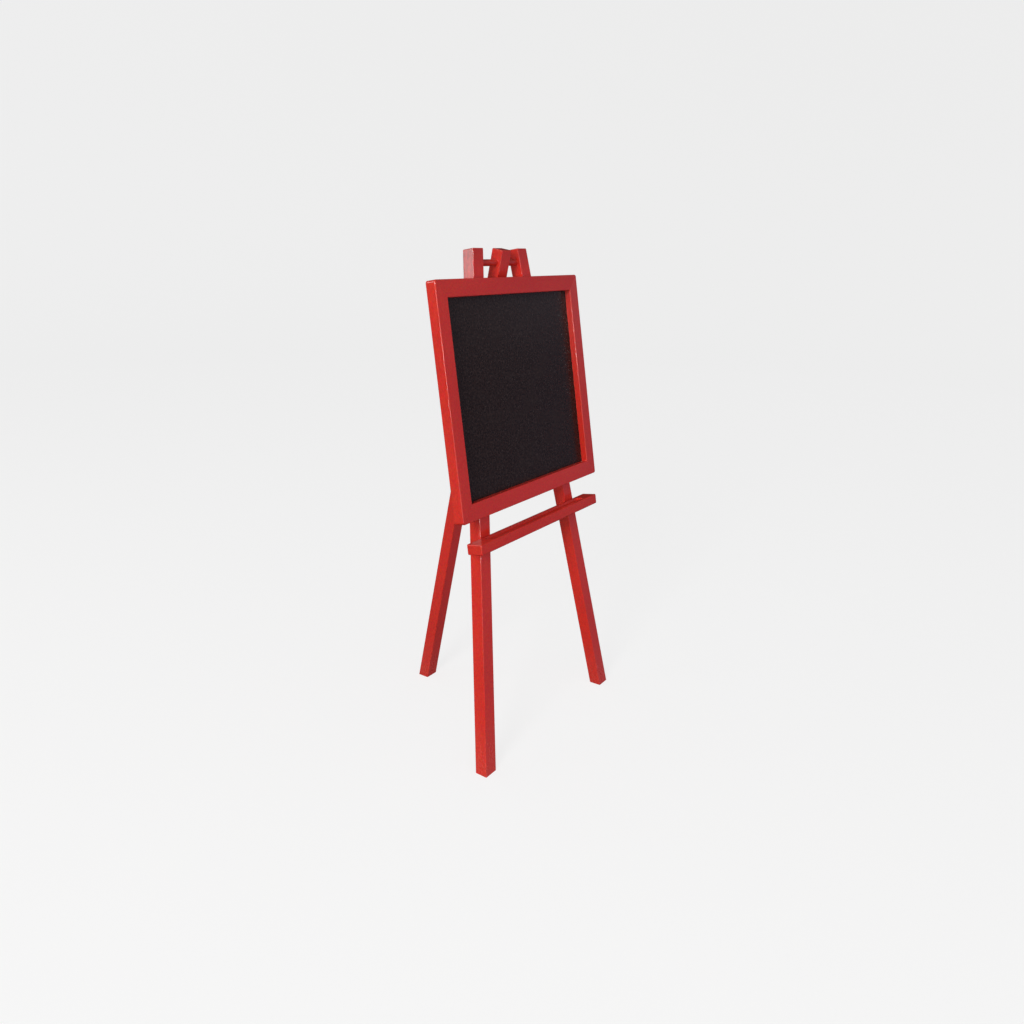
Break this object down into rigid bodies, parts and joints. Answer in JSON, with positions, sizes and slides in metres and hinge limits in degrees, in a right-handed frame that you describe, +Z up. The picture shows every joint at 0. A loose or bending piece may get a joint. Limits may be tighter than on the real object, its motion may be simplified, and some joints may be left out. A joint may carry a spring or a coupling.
{
  "type": "menu chalkboard easel",
  "caption": "Painted timber tripod easel with a framed chalkboard and a chalk ledge on the front legs and a rear leg that folds on a dowel.",
  "frame": {"origin": "on the floor, in the middle of the bounding box", "axes": "+Z up, the board faces -Y, +X to the right of someone who reads the board"},
  "size_m": [0.61, 0.4282, 1.1765],
  "materials": {
    "red_timber": "gloss",
    "chalkboard": "satin",
    "bare_timber": "matte",
    "screw_steel": "satin"
  },
  "bodies": {
    "front_frame": {"front_leg_left": "red_timber", "front_leg_right": "red_timber", "pivot_dowel": "red_timber", "frame_top_rail": "red_timber", "frame_bottom_rail": "red_timber", "frame_stile_left": "red_timber", "frame_stile_right": "red_timber", "chalkboard_panel": "chalkboard", "back_bead_top": "red_timber", "back_bead_bottom": "red_timber", "back_bead_left": "red_timber", "back_bead_right": "red_timber", "bead_brads": "screw_steel", "corner_keys": "bare_timber", "board_screws": "screw_steel", "chalk_ledge": "red_timber", "ledge_screws": "screw_steel"},
    "rear_leg": {"rear_leg": "red_timber"}
  },
  "joints": [
    {"name": "rear_leg_swing", "type": "hinge", "parent": "front_frame", "child": "rear_leg", "pos_m": [0.011, -0.00257, 1.14268], "axis": [1, 0, 0], "range_deg": [-19.5, 25]}
  ]
}
